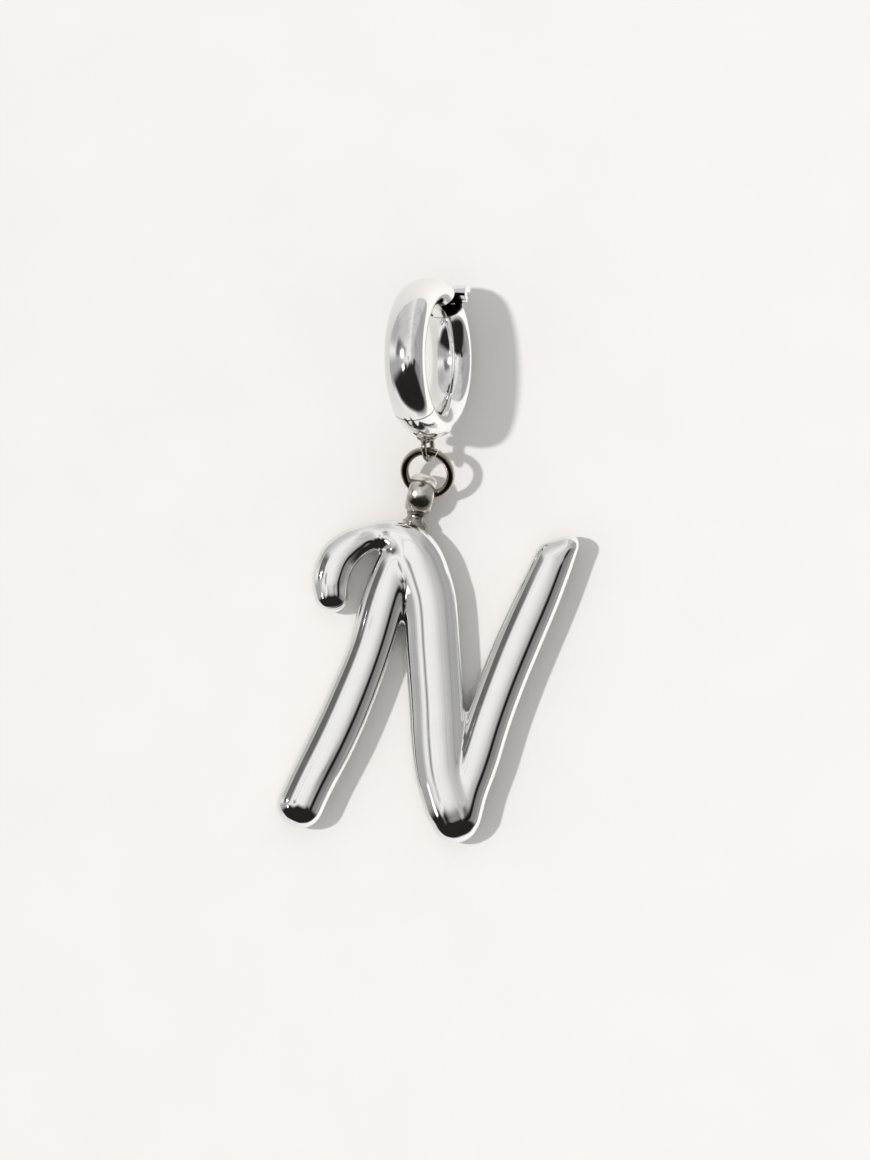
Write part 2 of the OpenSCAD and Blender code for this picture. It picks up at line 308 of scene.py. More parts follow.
@dataclass(frozen=True)
class Desk:
    """A node tree and short ways to fill it."""

    tree: bpy.types.NodeTree

    def feed(self, node: Node, inputs: Inputs) -> None:
        """Set or link a node's inputs.

        Args:
            node: The node.
            inputs: What its inputs get.
        """
        for name, item in inputs.items():
            if isinstance(item, Socket):
                self.tree.links.new(item, node.inputs[name])
            else:
                node.inputs[name].default_value = item

    def add(self, kind: str, inputs: Inputs, **values: object) -> Node:
        """Add a node.

        Args:
            kind: The node's type, without the word ShaderNode.
            inputs: What its inputs get.
            values: Settings of the node, by their attribute names.

        Returns:
            The node.
        """
        node = self.tree.nodes.new("ShaderNode" + kind)
        for name, value in values.items():
            setattr(node, name, value)
        self.feed(node, inputs)
        return node

    def noise(self, coords: Socket, scale: float, detail: float, rough: float = 0.5) -> Socket:
        """Read a noise texture, which runs from 0 to 1, at the given coordinates."""
        inputs = {"Vector": coords, "Scale": scale, "Detail": detail, "Roughness": rough}
        return self.add("TexNoise", inputs).outputs["Fac"]

    def span(
        self, value: Socket, start: float, end: float, low: float = 0.0, high: float = 1.0
    ) -> Socket:
        """Map a value from one range to another by a soft step.

        Args:
            value: The value.
            start: Where the step starts.
            end: Where it ends.
            low: The result up to the start.
            high: The result from the end on.

        Returns:
            The mapped value.
        """
        inputs = {"Value": value, "From Min": start, "From Max": end, "To Min": low, "To Max": high}
        node = self.add("MapRange", inputs, clamp=True, interpolation_type="SMOOTHSTEP")
        return node.outputs["Result"]

    def window(self, value: Socket, edges: Pair, soft: float) -> Socket:
        """Tell whether a value lies between two soft edges.

        Args:
            value: The value.
            edges: The lower and the upper edge.
            soft: Half the width of each edge's step.

        Returns:
            1 between the edges and 0 outside them.
        """
        low, high = edges
        rise = self.span(value, low - soft, low + soft)
        fall = self.span(value, high - soft, high + soft, 1.0, 0.0)
        return self.maths("MULTIPLY", rise, fall)

    def maths(self, how: str, first: Socket | float, second: Socket | float = 0.0) -> Socket:
        """Join two sockets or numbers by the named operation."""
        return self.add("Math", {0: first, 1: second}, operation=how).outputs["Value"]

    def squares(self, first: Socket, second: Socket) -> Socket:
        """Add the squares of two values."""
        a, b = (self.maths("MULTIPLY", side, side) for side in (first, second))
        return self.maths("ADD", a, b)

    def crossfade(self, share: Socket, first: Socket, second: float) -> Socket:
        """Fade from the first value, at a share of 0, to the second, at a share of 1."""
        kept = self.maths("MULTIPLY", first, self.maths("SUBTRACT", 1.0, share))
        return self.maths("ADD", kept, self.maths("MULTIPLY", share, second))

    def blend(
        self, share: Socket, first: Socket | Sequence[float], second: Socket | Sequence[float]
    ) -> Socket:
        """Blend two colours.

        Args:
            share: How much of the second there is.
            first: A colour or a socket.
            second: A colour or a socket.

        Returns:
            The blended colour.
        """
        a, b = (item if isinstance(item, Socket) else (*item, 1.0) for item in (first, second))
        node = self.add("Mix", {0: share, MIX_A: a, MIX_B: b}, data_type="RGBA")
        return node.outputs[MIX_BLEND]

    def bump(
        self, height: Socket, strength: float, depth: float, under: Socket | None = None
    ) -> Socket:
        """Raise a relief.

        Args:
            height: The relief's height, from 0 to 1.
            strength: How strongly it shows.
            depth: How deep it is, in metres.
            under: A relief that this one lies on.

        Returns:
            The surface's new direction.
        """
        inputs = {"Height": height, "Strength": strength, "Distance": depth}
        if under:
            inputs["Normal"] = under
        return self.add("Bump", inputs).outputs["Normal"]


@dataclass(frozen=True)
class TubeZone:
    """The inside or the flanks of a bent tube, told from the piece's own coordinates; its tint is
    painted shade on the inside or a painted reflection on the flanks.

    The tube's section is an oval: half_w along the axis that the tube bends round, half_t outwards.
    Its outline is at depth 1 and its middle line at 0. The edge gives the two depths between which
    the zone ends.
    """

    centre: Point
    turn_deg: Point
    axis: int
    tube_r: float
    half_w: float
    half_t: float
    edge: Pair
    within: bool
    # The painted shade or painted reflection that the zone gets.
    tint: Tint

    def mask(self, desk: Desk, coords: Socket) -> Socket:
        """Tell the zone from the rest.

        Args:
            desk: The node tree.
            coords: The piece's own coordinates.

        Returns:
            1 in the zone and 0 outside it.
        """
        turn = Euler([math.radians(angle) for angle in self.turn_deg])
        inputs = {
            "Vector": coords, "Rotation": turn, "Scale": (1 / MM, 1 / MM, 1 / MM),
            "Location": -(turn.to_matrix() @ Vector(self.centre)),
        }
        split = desk.add("SeparateXYZ", {0: desk.add("Mapping", inputs).outputs[0]})
        sides = list(split.outputs)
        along = sides.pop(self.axis)
        reach = desk.maths("SQRT", desk.squares(*sides))
        across = desk.maths("DIVIDE", along, self.half_w)
        outwards = desk.maths("DIVIDE", desk.maths("SUBTRACT", reach, self.tube_r), self.half_t)
        depth = desk.squares(across, outwards)
        return desk.span(depth, *self.edge, float(self.within), float(not self.within))


@dataclass(frozen=True)
class PolishedMetal:
    """Polished metal with fine scratches, faint ripples of hand polishing and a breath of wear; on
    some pieces it also gets painted shade or a painted reflection on one zone of the tube.

    Gloss and dull are the least and the most roughness; ripple and scratch are depths. Each hair
    is a set of scratches: its turn in radians and how much longer than wide its scratches are.
    """

    name: str
    tint: Tint
    worn: Tint
    gloss: float = 0.02
    dull: float = 0.06
    ripple: float = 0.004
    ripple_size: float = 2.2
    scratch: float = 0.0006
    painted_light_zone: TubeZone | None = None
    wear_size: float = 3.0
    wear_range: Pair = (0.35, 0.75)
    smear_size: float = 1.1
    smear_range: Pair = (0.35, 0.8)
    hairs: tuple[Pair, ...] = ((0.5, 26.0), (-0.9, 34.0), (1.7, 22.0))
    hair_size: float = 1.6
    hair_lean: float = 0.3
    hair_roll: float = 0.4
    hair_range: Pair = (0.66, 0.8)
    hair_dullness: float = 0.03
    hair_strength: float = 0.5

    def make(self) -> Material:
        """Build the material.

        Returns:
            The material.
        """
        material = bpy.data.materials.new(self.name)
        material.use_nodes = True
        desk = Desk(material.node_tree)
        coords = desk.add("TexCoord", {}).outputs["Object"]
        marks = self.scratches(desk, coords)
        waves = desk.noise(coords, 1 / (self.ripple_size * MM), detail=1.0)
        wavy = desk.bump(waves, 1.0, self.ripple * MM)
        inputs = {
            "Base Color": self.colour(desk, coords), "Metallic": 1.0,
            "Roughness": self.roughness(desk, coords, marks),
            "Normal": desk.bump(marks, self.hair_strength, self.scratch * MM, wavy),
        }
        desk.feed(material.node_tree.nodes["Principled BSDF"], inputs)
        return material

    def colour(self, desk: Desk, coords: Socket) -> Socket:
        """Vary the metal's colour by wear and, where there is one, by the painted shade or painted
        reflection of the tube's zone.

        Args:
            desk: The node tree.
            coords: The piece's own coordinates.

        Returns:
            The colour.
        """
        wear = desk.noise(coords, 1 / (self.wear_size * MM), detail=3.0)
        colour = desk.blend(desk.span(wear, *self.wear_range), self.tint, self.worn)
        # Paint shade or a reflection onto the tube's zone, where there is one.
        if self.painted_light_zone:
            colour = desk.blend(self.painted_light_zone.mask(desk, coords), colour, self.painted_light_zone.tint)
        return colour

    def scratches(self, desk: Desk, coords: Socket) -> Socket:
        """Lay fine scratches in a few directions.

        Args:
            desk: The node tree.
            coords: The piece's own coordinates.

        Returns:
            1 on a scratch and 0 beside it.
        """
        fine = 1 / (self.hair_size * MM)
        layers = []
        for turn, stretch in self.hairs:
            lie = (self.hair_lean, turn * self.hair_roll, turn)
            inputs = {"Vector": coords, "Rotation": lie, "Scale": (stretch, 1.0, 1.0)}
            turned = desk.add("Mapping", inputs).outputs[0]
            layers.append(desk.noise(turned, fine, detail=2.0, rough=0.7))
        marks = layers[0]
        for layer in layers[1:]:
            marks = desk.maths("MAXIMUM", marks, layer)
        return desk.span(marks, *self.hair_range)

    def roughness(self, desk: Desk, coords: Socket, marks: Socket) -> Socket:
        """Vary the gloss by faint smears and scratches.

        Args:
            desk: The node tree.
            coords: The piece's own coordinates.
            marks: The scratches.

        Returns:
            The roughness.
        """
        smear = desk.noise(coords, 1 / (self.smear_size * MM), detail=4.0, rough=0.6)
        matt = desk.span(smear, *self.smear_range, self.gloss, self.dull)
        return desk.maths("ADD", matt, desk.maths("MULTIPLY", marks, self.hair_dullness))


@dataclass(frozen=True)
class PaleTable:
    """A pale, matt table top with a barely seen grain."""

    name: str = "pale_table"
    tint: Tint = (0.83, 0.816, 0.802)
    shade: Tint = (0.82, 0.806, 0.792)
    grain_scale: float = 120.0
    grain_range: Pair = (0.3, 0.7)

    def make(self) -> Material:
        """Build the material.

        Returns:
            The material.
        """
        material = bpy.data.materials.new(self.name)
        material.use_nodes = True
        tree = material.node_tree
        tree.nodes.remove(tree.nodes["Principled BSDF"])
        desk = Desk(tree)
        coords = desk.add("TexCoord", {}).outputs["Object"]
        grain = desk.span(desk.noise(coords, self.grain_scale, detail=3.0), *self.grain_range)
        colour = desk.blend(grain, self.tint, self.shade)
        shader = desk.add("BsdfDiffuse", {"Color": colour, "Roughness": 1.0})
        desk.feed(tree.nodes["Material Output"], {"Surface": shader.outputs[0]})
        return material


@dataclass(frozen=True)
class Station:
    """One section of a stroke: its place and half its width."""

    x: float
    y: float
    half: float


@dataclass(frozen=True)
class Ring:
    """One ring of a stroke: its place, heading in radians, half width and half depth."""

    spot: Station
    aim: float
    wide: float
    deep: float


@dataclass
class Letter:
    """The puffed script letter with its neck and bail.

    A stroke's row holds its place across and up, as shares of the letter's width and height, and
    its width as a share of the stroke. A hollow holds its place, its reach and its passes. A bead
    of the neck holds its distance below the bail, its radius and how much wider than that it is.
    """

    width: float = 25.7
    height: float = 27.4
    stroke: float = 4.7
    thickness: float = 3.5
    left: float = -12.85
    foot: float = -23.809
    # The section's and the ends' roundness, as powers of a rounded square: 2 is an ellipse.
    squareness: float = 3.2
    end_roundness: float = 2.2
    # A narrower stroke is puffed less, and none is deeper than this share of its half width.
    puff_power: float = 0.3
    deepest: float = 1.1
    corner_steps: int = 14
    steps: int = 6
    cap_steps: int = 12
    tip: float = 0.02
    grain: float = 0.118
    polish: int = 22
    arch_and_diagonal: tuple[Point, ...] = (
        (0.181, 0.766, 0.63), (0.179, 0.814, 0.70), (0.201, 0.875, 0.71), (0.245, 0.916, 0.65),
        (0.290, 0.938, 0.56), (0.340, 0.952, 0.52), (0.385, 0.947, 0.65), (0.425, 0.922, 0.85),
        (0.460, 0.872, 0.98), (0.484, 0.812, 1.00), (0.503, 0.740, 1.00), (0.514, 0.598, 1.00),
        (0.525, 0.444, 1.00), (0.531, 0.321, 1.00), (0.540, 0.228, 0.98), (0.557, 0.166, 0.98),
        (0.574, 0.112, 0.97), (0.587, 0.079, 0.89),
    )
    leg: tuple[Point, ...] = (
        (0.079, 0.122, 0.86), (0.116, 0.197, 0.86), (0.182, 0.320, 0.88), (0.241, 0.444, 0.86),
        (0.305, 0.598, 0.81), (0.353, 0.752, 0.83), (0.390, 0.858, 0.76), (0.408, 0.896, 0.62),
    )
    riser: tuple[Point, ...] = (
        (0.602, 0.090, 0.81), (0.621, 0.166, 0.83), (0.656, 0.259, 0.84), (0.697, 0.382, 0.83),
        (0.745, 0.506, 0.83), (0.798, 0.629, 0.84), (0.855, 0.752, 0.82), (0.911, 0.875, 0.75),
    )
    riser_corner: Point = (0.9618, 0.9203, 0.38)
    # The riser's squared end: shares of the last section's half width and half depth.
    stub_root: float = 0.985
    stub_reach: float = 0.62
    stub_wide: float = 0.69
    stub_deep: float = 0.9
    corner_deep: float = 0.95
    hollows: tuple[tuple[float, float, float, int], ...] = (
        (-4.0, 0.9, 5.2, 65), (-2.1, -3.6, 3.4, 22), (11.0, 0.4, 3.6, 43),
    )
    bail_centre: Point = (-0.6544, 5.6888, 1.775)
    bail_od: float = 3.55
    bail_hole: float = 2.3
    bail_width: float = 2.25
    bail_swell: float = 0.05
    bail_sides: int = 64
    bail_rings: int = 128
    bail_edge_deg: float = 60.0
    lean_deg: float = 13.0
    neck_overlap: float = 0.2
    neck_beads: tuple[Point, ...] = (
        (0.0, 0.66, 1.3), (0.4, 0.62, 1.15), (0.8, 0.66, 1.25), (1.25, 0.8, 1.5),
    )
    bead_flat: float = 0.95
    bead_sides: int = 32
    bead_rings: int = 20
    neck_grain: float = 0.06
    neck_polish: int = 4

    def station(self, row: Point) -> Station:
        """Find the station that a stroke's row stands for."""
        x, y, wide = row
        return Station(self.left + x * self.width, self.foot + y * self.height, wide * self.stroke / 2)

    def stations(self, rows: Sequence[Point]) -> list[Station]:
        """Follow a smooth curve through the rows of a stroke.

        Args:
            rows: The stroke's rows.

        Returns:
            The stations along the stroke.
        """
        spots = [self.station(row) for row in rows]
        points = [Vector((spot.x, spot.y, spot.half)) for spot in spots]
        out: list[Station] = []
        for i in range(len(points) - 1):
            a, b, c, d = (points[min(max(i + k, 0), len(points) - 1)] for k in (-1, 0, 1, 2))
            for s in range(self.steps):
                t = s / self.steps
                curve = 2 * b + (c - a) * t + (2 * a - 5 * b + 4 * c - d) * t * t
                out.append(Station(*(0.5 * (curve + (3 * b - a - 3 * c + d) * t**3))))
        out.append(Station(*points[-1]))
        return out

    def depth(self, station: Station) -> float:
        """Half of the stroke's thickness at a station; a narrower stroke is puffed less."""
        puff = (station.half * 2 / self.stroke) ** self.puff_power
        return min(self.deepest * station.half, self.thickness / 2 * puff)

    def cap(self, base: Station, aim: float, deep: float) -> list[Ring]:
        """Round off one end of a stroke.

        Args:
            base: The last station.
            aim: Heading out of the stroke there.
            deep: Half of the stroke's thickness there.

        Returns:
            The rings from the foot of the cap to its tip.
        """
        rings = []
        for k in range(1, self.cap_steps + 1):
            turn = math.radians(90 * k / self.cap_steps)
            out = base.half * math.sin(turn)
            spot = Station(base.x + out * math.cos(aim), base.y + out * math.sin(aim), base.half)
            drop = max(1 - math.sin(turn) ** self.end_roundness, 0.0) ** (1 / self.end_roundness)
            wide = base.half * max(math.cos(turn), self.tip)
            rings.append(Ring(spot, aim, wide, deep * max(drop, self.tip)))
        return rings

    def capped(self, stations: list[Station]) -> list[Ring]:
        """Give every station its ring and add round ends.

        Args:
            stations: The stroke's stations.

        Returns:
            The rings of the whole stroke.
        """
        rings = []
        for i, station in enumerate(stations):
            a, b = stations[max(i - 1, 0)], stations[min(i + 1, len(stations) - 1)]
            aim = math.atan2(b.y - a.y, b.x - a.x)
            rings.append(Ring(station, aim, station.half, self.depth(station)))
        first, last = rings[0], rings[-1]
        start = self.cap(first.spot, first.aim + math.pi, first.deep)
        turned = [Ring(r.spot, r.aim - math.pi, r.wide, r.deep) for r in start]
        return turned[::-1] + rings + self.cap(last.spot, last.aim, last.deep)

    def sweep(self, name: str, rings: list[Ring]) -> Piece:
        """Extrude a squared oval along rings, one ring after the other.

        Args:
            name: The new piece's name.
            rings: The rings of the stroke.

        Returns:
            The closed tube.
        """
        mid = self.thickness / 2
        first = rings[0]
        bpy.ops.mesh.primitive_plane_add(size=2)
        tube = named(name)
        enter(tube)
        bpy.ops.mesh.bevel(
            offset=1.0, segments=self.corner_steps, profile=2 ** (-2 / self.squareness),
            affect="VERTICES",
        )
        bpy.ops.mesh.select_all(action="SELECT")
        bpy.ops.mesh.remove_doubles(threshold=MERGE)
        tube.scale = (first.wide, first.deep, 1)
        tube.rotation_euler = (math.pi / 2, 0, first.aim - math.pi / 2)
        tube.location = (first.spot.x, first.spot.y, mid)
        settle(tube)
        enter(tube)
        old = first
        for ring in rings[1:]:
            step = (ring.spot.x - old.spot.x, ring.spot.y - old.spot.y, 0)
            bpy.ops.mesh.extrude_region_move(TRANSFORM_OT_translate={"value": step})
            centre = (ring.spot.x, ring.spot.y, mid)
            grow, rise = ring.wide / old.wide, ring.deep / old.deep
            bpy.ops.transform.resize(value=(grow, grow, rise), center_override=centre)
            turn = old.aim - ring.aim
            if abs(turn) > NO_TURN:
                bpy.ops.transform.rotate(value=turn, orient_axis="Z", center_override=centre)
            old = ring
        return outward(tube)

    def build(self, metal: Material, bail_metal: Material, solder: Material) -> list[Piece]:
        """Build the letter, its neck and its bail.

        Args:
            metal: The polished metal.
            bail_metal: The worn metal of the bail.
            solder: The metal of the soldered neck.

        Returns:
            The finished pieces.
        """
        rows = {"arch": self.arch_and_diagonal, "leg": self.leg, "riser": self.riser}
        strokes = [self.sweep(name, self.capped(self.stations(rows[name]))) for name in rows]
        strokes.append(self.squared_end())
        body = melt(join("letter_body", strokes), self.grain, self.polish)
        for x, y, reach, passes in self.hollows:
            self.ease(body, x, y, reach, passes)
        made = (
            (body, metal, ALL_SMOOTH),
            (self.bail(), bail_metal, self.bail_edge_deg),
            (self.neck(), solder, ALL_SMOOTH),
        )
        return [
            hand_over(piece, Body.CLASP, ["letter"], "polished_metal", material, edge_deg)
            for piece, material, edge_deg in made
        ]

    def ease(self, body: Piece, x: float, y: float, reach: float, passes: int) -> None:
        """Rub down the hollow where two strokes meet, until its edges are round.

        Args:
            body: The letter's body.
            x: The hollow's place across.
            y: Its place up.
            reach: How far the rubbing reaches.
            passes: How many times it is rubbed.
        """
        rubbed = body.vertex_groups.new(name="rubbed")
        for vertex in body.data.vertices:
            near = 1 - math.hypot(vertex.co.x - x, vertex.co.y - y) / reach
            if near > 0:
                rubbed.add([vertex.index], near * near * (3 - 2 * near), "REPLACE")
        polish(body, passes, rubbed.name)
        body.vertex_groups.clear()

    def squared_end(self) -> Piece:
        """Shape the riser's end, which is squared off towards its right.

        Returns:
            The end, to be melted into the riser.
        """
        path = self.stations(self.riser)
        last, before = path[-1], path[-2]
        aim = math.atan2(last.y - before.y, last.x - before.x)
        reach = self.stub_reach * last.half
        beyond = Station(last.x + reach * math.cos(aim), last.y + reach * math.sin(aim), last.half)
        deep = self.depth(last)
        stub = [
            Ring(last, aim, last.half * self.stub_root, deep * self.stub_root),
            Ring(beyond, aim, last.half * self.stub_wide, deep * self.stub_deep),
        ]
        corner = self.station(self.riser_corner)
        rise = deep * self.corner_deep
        side = [Ring(corner, aim, corner.half, rise), *self.cap(corner, aim, rise)]
        end = join("riser_end", [self.sweep("stub", stub), self.sweep("side", side)])
        enter(end)
        bpy.ops.mesh.convex_hull()
        return outward(end)

    def bail(self) -> Piece:
        """Spin the domed band of the bail round its hole; it is nearly flat inside.

        Returns:
            The band.
        """
        edge = self.bail_hole / 2 + self.bail_swell
        dome = self.bail_od / 2 - edge
        bpy.ops.mesh.primitive_circle_add(
            vertices=self.bail_sides, radius=1, fill_type="NOTHING", location=(0, 0, edge),
            rotation=(math.pi / 2, 0, 0),
        )
        band = named("bail_band")
        band.scale = (self.bail_width / 2, dome, 1)
        settle(band)
        for vertex in band.data.vertices:
            vertex.select = vertex.co.z < edge - MERGE
        for line in band.data.edges:
            line.select = all(band.data.vertices[i].select for i in line.vertices)
        bpy.ops.object.mode_set(mode="EDIT")
        flat = (1, 1, self.bail_swell / dome)
        bpy.ops.transform.resize(value=flat, center_override=(0, 0, edge))
        spin(band, self.bail_rings, math.tau, (1, 0, 0))
        lean = Matrix.Rotation(math.radians(-self.lean_deg), 4, "Z")
        return place(band, Matrix.Translation(Vector(self.bail_centre)) @ lean)

    def neck(self) -> Piece:
        """Build the soldered neck between the arch and the bail.

        Returns:
            The neck with its beads of solder.
        """
        lean = math.radians(self.lean_deg)
        along = Vector((math.sin(lean), math.cos(lean), 0))
        top = Vector(self.bail_centre) - along * (self.bail_od / 2 - self.neck_overlap)
        beads = []
        for distance, radius, wide in self.neck_beads:
            bpy.ops.mesh.primitive_uv_sphere_add(
                segments=self.bead_sides, ring_count=self.bead_rings, radius=radius,
                location=top - along * distance,
            )
            bead = named("bead")
            bead.scale = (wide, 1.0, self.bead_flat)
            bead.rotation_euler = (0, 0, -lean)
            beads.append(settle(bead))
        return melt(join("neck_solder", beads), self.neck_grain, self.neck_polish)


@dataclass
class Hoop:
    """The hinged hoop clasp: two half tubes, their hinge, the pin and the soldered loop.

    The hoop's own frame has X along the axis that the tube bends round and Y towards the hoop's
    top end. A bead of solder holds its place beside the loop, outwards and across, and its radius.
    """

    centre: Point = (0.0154, 17.0592, 6.4564)
    lean_deg: float = 21.0
    outer_d: float = 13.5
    tube_t: float = 2.35
    tube_w: float = 3.55
    seam: float = 0.08
    hinge_deg: float = 38.0
    hinge_w: float = 3.8
    knuckle_d: float = 1.5
    knuckle_soft: float = 0.05
    pin_d: float = 0.6
    pin_rise: float = 0.2
    pin_soft: float = 0.08
    soft_steps: int = 4
    soft_limit_deg: float = 40.0
    tab_deg: float = 24.0
    tab_room: float = 2.6
    hollow_deg: float = 14.0
    hollow_past_deg: float = 2.0
    wall: float = 0.28
    tongue: Point = (1.0, 0.7, 0.7)
    tongue_root: float = 0.3
    socket_room: float = 0.3
    loop_wire: float = 0.46
    loop_hole: float = 1.5
    loop_rise: float = 0.3
    loop_deg: float = 17.0
    loop_offset: float = -0.95
    loop_rings: int = 72
    loop_sides: int = 24
    solder_beads: tuple[tuple[float, float, float, float], ...] = (
        (-0.55, 0.02, 0.1, 0.42), (0.0, 0.12, -0.1, 0.5), (0.5, 0.0, 0.12, 0.4),
        (0.1, 0.3, 0.3, 0.3), (-0.2, 0.28, -0.3, 0.3),
    )
    bead_steps: int = 4
    solder_grain: float = 0.045
    solder_polish: int = 3
    # Depths of the tube's section between which its painted shade inside ends, and the painted shade's
    # colour.
    painted_shade_edge: Pair = (0.84, 0.9)
    inside_painted_shade: Tint = (0.05, 0.044, 0.038)
    rings: int = 110
    hollow_rings: int = 20
    sides: int = 72
    edge_deg: float = 32.0
    pin_edge_deg: float = 40.0

    @property
    def tube_r(self) -> float:
        """Radius of the hoop's middle line."""
        return self.outer_d / 2 - self.tube_t / 2

    @property
    def pin_r(self) -> float:
        """Distance of the pin from the hoop's middle."""
        return self.outer_d / 2 + self.pin_rise

    @property
    def knuckle_w(self) -> float:
        """Width of one knuckle."""
        return (self.hinge_w - 2 * self.seam) / 3

    def inside(self) -> TubeZone:
        """The inside of the tube, where the hinge and the tongue sit, with painted shade that darkens
        it.

        Returns:
            The zone.
        """
        turn = (0.0, self.lean_deg, 0.0)
        sizes = (self.tube_r, self.tube_w / 2, self.tube_t / 2)
        return TubeZone(self.centre, turn, 0, *sizes, self.painted_shade_edge, True, self.inside_painted_shade)

    def place(self) -> Matrix:
        """Where the hoop's own frame lies."""
        lean = Matrix.Rotation(math.radians(-self.lean_deg), 4, "Y")
        return Matrix.Translation(Vector(self.centre)) @ lean

    def arc(
        self, name: str, start: float, sweep: float, half_w: float, half_t: float, steps: int
    ) -> Piece:
        """Spin an oval section round the hoop's axis and close its ends.

        Args:
            name: The new piece's name.
            start: Angle of its first end, in degrees from the top end of the hoop.
            sweep: Angle that it spans, in degrees.
            half_w: Half of the section's width, along the axis.
            half_t: Half of its thickness.
            steps: Rings along it.

        Returns:
            The closed arc, in the hoop's own frame.
        """
        bpy.ops.mesh.primitive_circle_add(
            vertices=self.sides, radius=1, fill_type="NGON", location=(0, self.tube_r, 0)
        )
        arc = named(name)
        arc.scale = (half_w, half_t, 1)
        settle(arc)
        place(arc, Matrix.Rotation(math.radians(start), 4, "X"))
        return spin(arc, steps, math.radians(-sweep), (1, 0, 0))

    def bar(self, name: str, radius: float, start: float, end: float, soft: float = 0.0) -> Piece:
        """Turn a round bar along the hinge's line.

        Args:
            name: The new piece's name.
            radius: Its radius.
            start: Where it starts along the hoop's axis.
            end: Where it ends.
            soft: Width of its rounded edges.

        Returns:
            The bar, in the hoop's own frame.
        """
        bpy.ops.mesh.primitive_cylinder_add(
            vertices=self.sides, radius=radius, depth=end - start,
            location=((start + end) / 2, self.pin_r, 0), rotation=(0, math.pi / 2, 0),
        )
        bar = settle(named(name))
        if soft:
            bevel = bar.modifiers.new("soft", "BEVEL")
            bevel.width = soft
            bevel.segments = self.soft_steps
            bevel.limit_method = "ANGLE"
            bevel.angle_limit = math.radians(self.soft_limit_deg)
            apply(bar, bevel)
        return place(bar, Matrix.Rotation(math.radians(-self.hinge_deg), 4, "X"))

    def block(self, name: str, low: Point, high: Point, angle: float) -> Piece:
        """Cut a block between two corners and turn it round the hoop.

        Args:
            name: The new piece's name.
            low: Its lower corner at the hoop's top end.
            high: Its higher corner.
            angle: Its angle round the hoop, in degrees.

        Returns:
            The block, in the hoop's own frame.
        """
        a, b = Vector(low), Vector(high)
        bpy.ops.mesh.primitive_cube_add(size=1, location=(a + b) / 2)
        block = named(name)
        block.scale = b - a
        settle(block)
        return place(block, Matrix.Rotation(math.radians(angle), 4, "X"))

    def catch(self, name: str, room: float) -> Piece:
        """Cut the block of the snap tongue, or of its socket.

        Args:
            name: The new piece's name.
            room: How much larger than the tongue it is.

        Returns:
            The block, in the hoop's own frame.
        """
        width, thick, length = (size + room for size in self.tongue)
        low = (-width / 2, self.tube_r - thick / 2, -self.tongue_root)
        high = (width / 2, self.tube_r + thick / 2, length)
        return self.block(name, low, high, 180 - self.hinge_deg)

    def half(self, name: str, start: float) -> Piece:
        """Make one half of the hoop's tube, with its seams open by the seam's gap."""
        gap = math.degrees(math.asin(self.seam / 2 / self.tube_r))
        return self.arc(name, start + gap, 180 - 2 * gap, self.tube_w / 2, self.tube_t / 2, self.rings)

    def gate(self) -> Piece:
        """Build the gate with its hinge tab, middle knuckle and snap tongue.

        Returns:
            The gate, in the hoop's own frame.
        """
        gate = self.half("gate_shell", -self.hinge_deg)
        inner, outer = self.knuckle_w / 2, self.tube_w
        for near, far in ((-outer, -inner), (inner, outer)):
            low = (near, self.tube_r - self.tube_t, -self.tab_room)
            high = (far, self.tube_r + self.tube_t, 0)
            room = self.block("room", low, high, self.tab_deg - self.hinge_deg)
            fit(gate, room, Fit.CUT)
        fit(gate, self.catch("tongue", 0.0), Fit.WELD)
        knuckle = self.bar("middle_knuckle", self.knuckle_d / 2, -inner, inner, self.knuckle_soft)
        return fit(gate, knuckle, Fit.WELD)

    def body(self) -> Piece:
        """Build the clasp's body with its hollow end, outer knuckles and tongue socket.

        Returns:
            The body, in the hoop's own frame.
        """
        body = self.half("body_shell", 180 - self.hinge_deg)
        hollow = self.arc(
            "hollow", -self.hinge_deg - self.hollow_deg, self.hollow_deg + self.hollow_past_deg,
            self.tube_w / 2 - self.wall, self.tube_t / 2 - self.wall, self.hollow_rings,
        )
        fit(body, hollow, Fit.CUT)
        inner, outer = self.knuckle_w / 2 + self.seam, self.hinge_w / 2
        room = self.bar("room", self.knuckle_d / 2 + self.seam, -inner, inner)
        fit(body, room, Fit.CUT)
        fit(body, self.catch("socket", self.socket_room), Fit.CUT)
        for start, end in ((-outer, -inner), (inner, outer)):
            knuckle = self.bar("outer_knuckle", self.knuckle_d / 2, start, end, self.knuckle_soft)
            fit(body, knuckle, Fit.WELD)
        return body

    def loop(self) -> Piece:
        """Bend the small loop under the hoop and melt its solder on.

        Returns:
            The loop with its solder, in the hoop's own frame.
        """
        surface = self.outer_d / 2
        bpy.ops.mesh.primitive_torus_add(
            location=(self.loop_offset, surface + self.loop_rise + self.loop_hole / 2, 0),
            rotation=(0, math.pi / 2, 0),
            major_segments=self.loop_rings, minor_segments=self.loop_sides,
            major_radius=self.loop_hole / 2 + self.loop_wire / 2, minor_radius=self.loop_wire / 2,
        )
        shapes = [settle(named("loop_ring"))]
        for x, y, z, radius in self.solder_beads:
            bpy.ops.mesh.primitive_ico_sphere_add(
                subdivisions=self.bead_steps, radius=radius,
                location=(self.loop_offset + x, surface + y, z),
            )
            shapes.append(named("bead"))
        loop = join("soldered_loop", shapes)
        melt(loop, self.solder_grain, self.solder_polish)
        return place(loop, Matrix.Rotation(math.radians(180 + self.loop_deg), 4, "X"))

